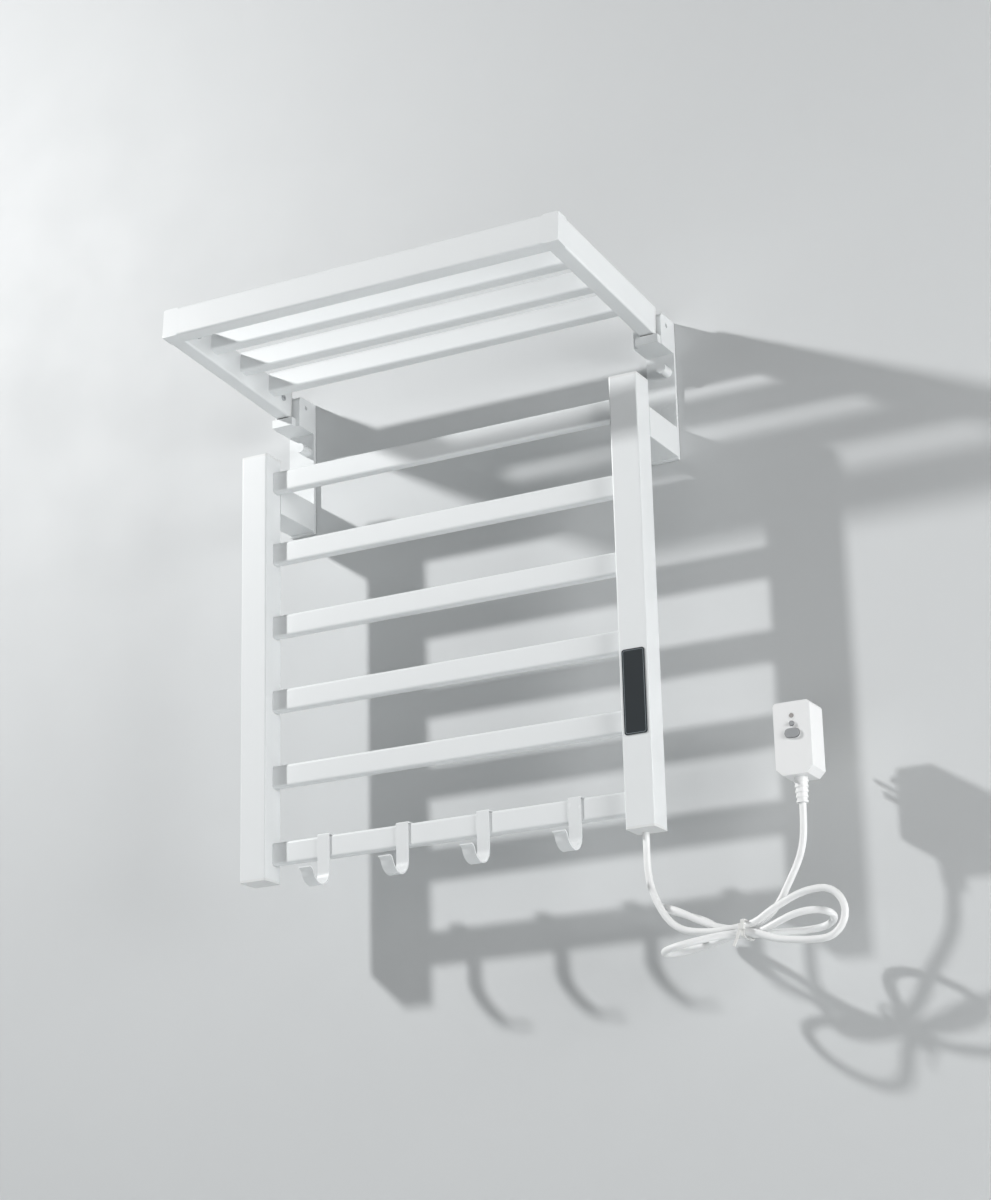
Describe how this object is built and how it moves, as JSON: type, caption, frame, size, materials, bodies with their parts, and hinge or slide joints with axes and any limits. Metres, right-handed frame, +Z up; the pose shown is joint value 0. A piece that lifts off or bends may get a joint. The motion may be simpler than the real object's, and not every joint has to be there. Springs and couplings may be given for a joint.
{
  "type": "electric towel rail with folding shelf",
  "caption": "White wall-hung electric towel rail with flat bars, a folding slatted shelf, sliding hooks, a touch panel and a corded plug.",
  "frame": {"origin": "middle of the four wall-screw holes, on the wall face of the two wall plates", "axes": "+X along the bars to the right as seen from the room, +Y into the wall, +Z up"},
  "size_m": [0.6645, 0.2645, 0.7191],
  "materials": {
    "white_paint": "satin",
    "white_alu": "satin",
    "black_glass": "gloss",
    "black_plastic": "satin",
    "white_plastic": "satin",
    "grey_plastic": "satin",
    "red_lens": "gloss",
    "rubber": "matte",
    "cord_pvc": "satin",
    "steel": "satin",
    "brass": "polished",
    "board": "satin",
    "silicone": "matte"
  },
  "bodies": {
    "rail": {"post_left": "white_alu", "post_right": "white_alu", "cap_top_left": "white_plastic", "cap_top_right": "white_plastic", "cap_bottom_left": "white_plastic", "cap_bottom_right": "white_plastic", "bar_1": "white_alu", "bar_2": "white_alu", "bar_3": "white_alu", "bar_4": "white_alu", "bar_5": "white_alu", "bar_6": "white_alu", "heating_wires": "silicone", "panel_frame": "black_plastic", "touch_glass": "black_glass", "control_board": "board", "power_module": "black_plastic", "bar_sensor": "steel", "terminal_block": "white_plastic", "cord_clamp": "grey_plastic", "wall_plate_left": "white_paint", "wall_plate_right": "white_paint", "standoff_left": "white_alu", "standoff_right": "white_alu", "standoff_cores": "steel", "core_bolts": "steel", "standoff_screws": "steel", "hinge_block_left": "white_paint", "hinge_block_right": "white_paint", "hinge_pins": "steel", "rest_pads": "rubber", "lock_screws": "white_paint", "mains_cord": "cord_pvc", "cable_tie": "white_plastic", "plug_front": "white_plastic", "plug_back": "white_plastic", "plug_core": "black_plastic", "plug_pins": "brass", "plug_boot": "cord_pvc", "plug_lamp": "red_lens"},
    "shelf": {"arm_left": "white_alu", "arm_right": "white_alu", "front_rail": "white_alu", "corner_left": "white_plastic", "corner_right": "white_plastic", "slat_1": "white_alu", "slat_2": "white_alu", "slat_3": "white_alu", "tongue_left": "white_plastic", "tongue_right": "white_plastic", "corner_screws": "steel", "tongue_screws": "steel"},
    "hook_1": {"hook_1": "white_paint"},
    "hook_2": {"hook_2": "white_paint"},
    "hook_3": {"hook_3": "white_paint"},
    "hook_4": {"hook_4": "white_paint"},
    "test_button": {"test_button": "grey_plastic"},
    "reset_button": {"reset_button": "grey_plastic"}
  },
  "joints": [
    {"name": "shelf_fold", "type": "hinge", "parent": "rail", "child": "shelf", "pos_m": [0, -0.0209, 0.067], "axis": [-1, 0, 0], "range_deg": [0, 85]},
    {"name": "hook_1_slide", "type": "slide", "parent": "rail", "child": "hook_1", "axis": [1, 0, 0], "range_m": [-0.05, 0.035]},
    {"name": "hook_2_slide", "type": "slide", "parent": "rail", "child": "hook_2", "axis": [1, 0, 0], "range_m": [-0.035, 0.035]},
    {"name": "hook_3_slide", "type": "slide", "parent": "rail", "child": "hook_3", "axis": [1, 0, 0], "range_m": [-0.035, 0.035]},
    {"name": "hook_4_slide", "type": "slide", "parent": "rail", "child": "hook_4", "axis": [1, 0, 0], "range_m": [-0.035, 0.05]},
    {"name": "test_button_press", "type": "slide", "parent": "rail", "child": "test_button", "axis": [0, 1, 0], "range_m": [0, 0.0012], "stiffness_N_per_m": 600, "springref_m": -0.001},
    {"name": "reset_button_press", "type": "slide", "parent": "rail", "child": "reset_button", "axis": [0, 1, 0], "range_m": [0, 0.0012], "stiffness_N_per_m": 600, "springref_m": -0.001}
  ]
}
